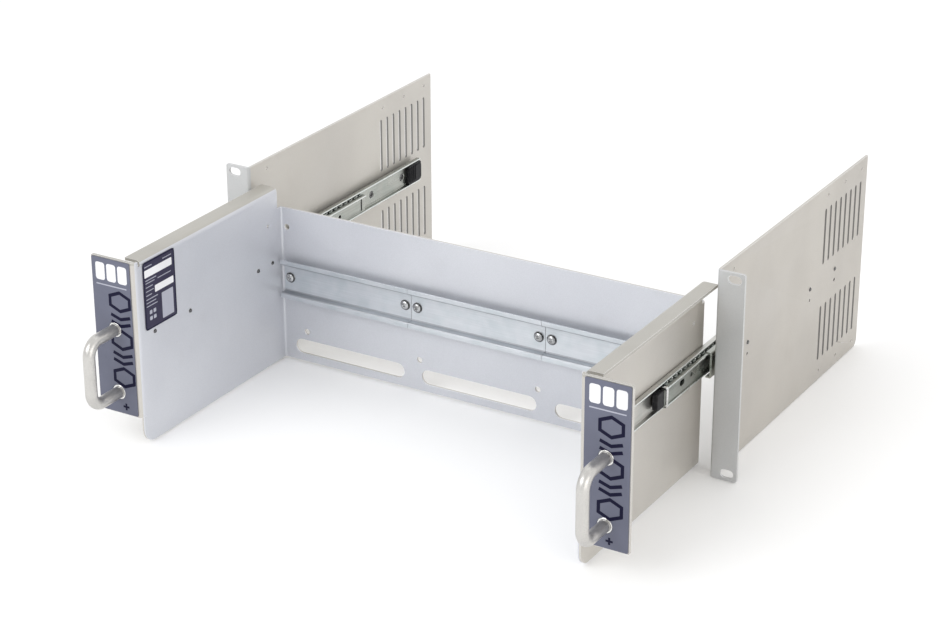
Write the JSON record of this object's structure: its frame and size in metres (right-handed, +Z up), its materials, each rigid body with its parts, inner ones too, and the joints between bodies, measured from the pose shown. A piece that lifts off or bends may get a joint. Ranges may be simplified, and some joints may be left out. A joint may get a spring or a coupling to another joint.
{
  "type": "rack drawer chassis",
  "caption": "Rack-mount pull-out chassis: vented side plates with ears, telescopic ball slides and a folded drawer with a DIN rail, cable slots and U-shaped pull handles.",
  "frame": {"origin": "on the floor plane under the middle of the whole object, with the drawer pulled out", "axes": "+Z up, +Y into the rack (the drawer pulls out along -Y), +X to the right seen from the front"},
  "size_m": [0.4826, 0.5154, 0.177],
  "materials": {
    "side_sheet": "satin silver, fine grain",
    "drawer_sheet": "satin silver, fine grain",
    "slide_steel": "bright zinc plate",
    "din_steel": "bright zinc plate",
    "screw_steel": "nickel plate",
    "handle_bar": "satin drawn bar",
    "black_rubber": "matt black",
    "overlay_film": "printed film, slate blue",
    "label_film": "printed film, dark violet blue"
  },
  "bodies": {
    "rack_sides": {"side_plate_left": "side_sheet", "cabinet_rail_left": "slide_steel", "rail_stop_left": "black_rubber", "cabinet_screw_left_1": "screw_steel", "cabinet_screw_left_2": "screw_steel", "cabinet_screw_left_3": "screw_steel", "rail_spacer_left_1": "black_rubber", "rail_spacer_left_2": "black_rubber", "rail_spacer_left_3": "black_rubber", "side_plate_right": "side_sheet", "cabinet_rail_right": "slide_steel", "rail_stop_right": "black_rubber", "cabinet_screw_right_1": "screw_steel", "cabinet_screw_right_2": "screw_steel", "cabinet_screw_right_3": "screw_steel", "rail_spacer_right_1": "black_rubber", "rail_spacer_right_2": "black_rubber", "rail_spacer_right_3": "black_rubber"},
    "drawer": {"drawer_tray": "drawer_sheet", "info_label": "label_film", "drawer_rail_left": "slide_steel", "handle_left": "handle_bar", "front_overlay_left": "overlay_film", "drawer_screw_left_1": "screw_steel", "drawer_screw_left_2": "screw_steel", "drawer_screw_left_3": "screw_steel", "drawer_screw_left_4": "screw_steel", "handle_screw_left_1": "screw_steel", "handle_screw_left_2": "screw_steel", "drawer_rail_right": "slide_steel", "handle_right": "handle_bar", "front_overlay_right": "overlay_film", "drawer_screw_right_1": "screw_steel", "drawer_screw_right_2": "screw_steel", "drawer_screw_right_3": "screw_steel", "drawer_screw_right_4": "screw_steel", "handle_screw_right_1": "screw_steel", "handle_screw_right_2": "screw_steel", "din_rail_1": "din_steel", "din_rail_2": "din_steel", "din_rail_3": "din_steel", "din_screw_1": "screw_steel", "din_screw_2": "screw_steel", "din_screw_3": "screw_steel", "din_screw_4": "screw_steel", "din_screw_5": "screw_steel", "din_screw_6": "screw_steel"},
    "beam_left": {"slide_beam_left": "slide_steel", "beam_buffer_left": "black_rubber"},
    "outer_cage_left": {"outer_cage_left": "slide_steel"},
    "inner_cage_left": {"inner_cage_left": "slide_steel"},
    "beam_right": {"slide_beam_right": "slide_steel", "beam_buffer_right": "black_rubber"},
    "outer_cage_right": {"outer_cage_right": "slide_steel"},
    "inner_cage_right": {"inner_cage_right": "slide_steel"}
  },
  "joints": [
    {"name": "drawer_slide", "type": "slide", "parent": "rack_sides", "child": "drawer", "axis": [0, 1, 0], "range_m": [0, 0.18]},
    {"name": "beam_left_slide", "type": "slide", "parent": "rack_sides", "child": "beam_left", "axis": [0, 1, 0], "range_m": [0, 0.0783]},
    {"name": "outer_cage_left_slide", "type": "slide", "parent": "rack_sides", "child": "outer_cage_left", "axis": [0, 1, 0], "range_m": [0, 0.03915]},
    {"name": "inner_cage_left_slide", "type": "slide", "parent": "rack_sides", "child": "inner_cage_left", "axis": [0, 1, 0], "range_m": [0, 0.12915]},
    {"name": "beam_right_slide", "type": "slide", "parent": "rack_sides", "child": "beam_right", "axis": [0, 1, 0], "range_m": [0, 0.0783]},
    {"name": "outer_cage_right_slide", "type": "slide", "parent": "rack_sides", "child": "outer_cage_right", "axis": [0, 1, 0], "range_m": [0, 0.03915]},
    {"name": "inner_cage_right_slide", "type": "slide", "parent": "rack_sides", "child": "inner_cage_right", "axis": [0, 1, 0], "range_m": [0, 0.12915]}
  ],
  "couplings": [
    {"joint": "beam_left_slide", "follows": "drawer_slide", "ratio": 0.435},
    {"joint": "outer_cage_left_slide", "follows": "drawer_slide", "ratio": 0.2175},
    {"joint": "inner_cage_left_slide", "follows": "drawer_slide", "ratio": 0.7175},
    {"joint": "beam_right_slide", "follows": "drawer_slide", "ratio": 0.435},
    {"joint": "outer_cage_right_slide", "follows": "drawer_slide", "ratio": 0.2175},
    {"joint": "inner_cage_right_slide", "follows": "drawer_slide", "ratio": 0.7175}
  ]
}
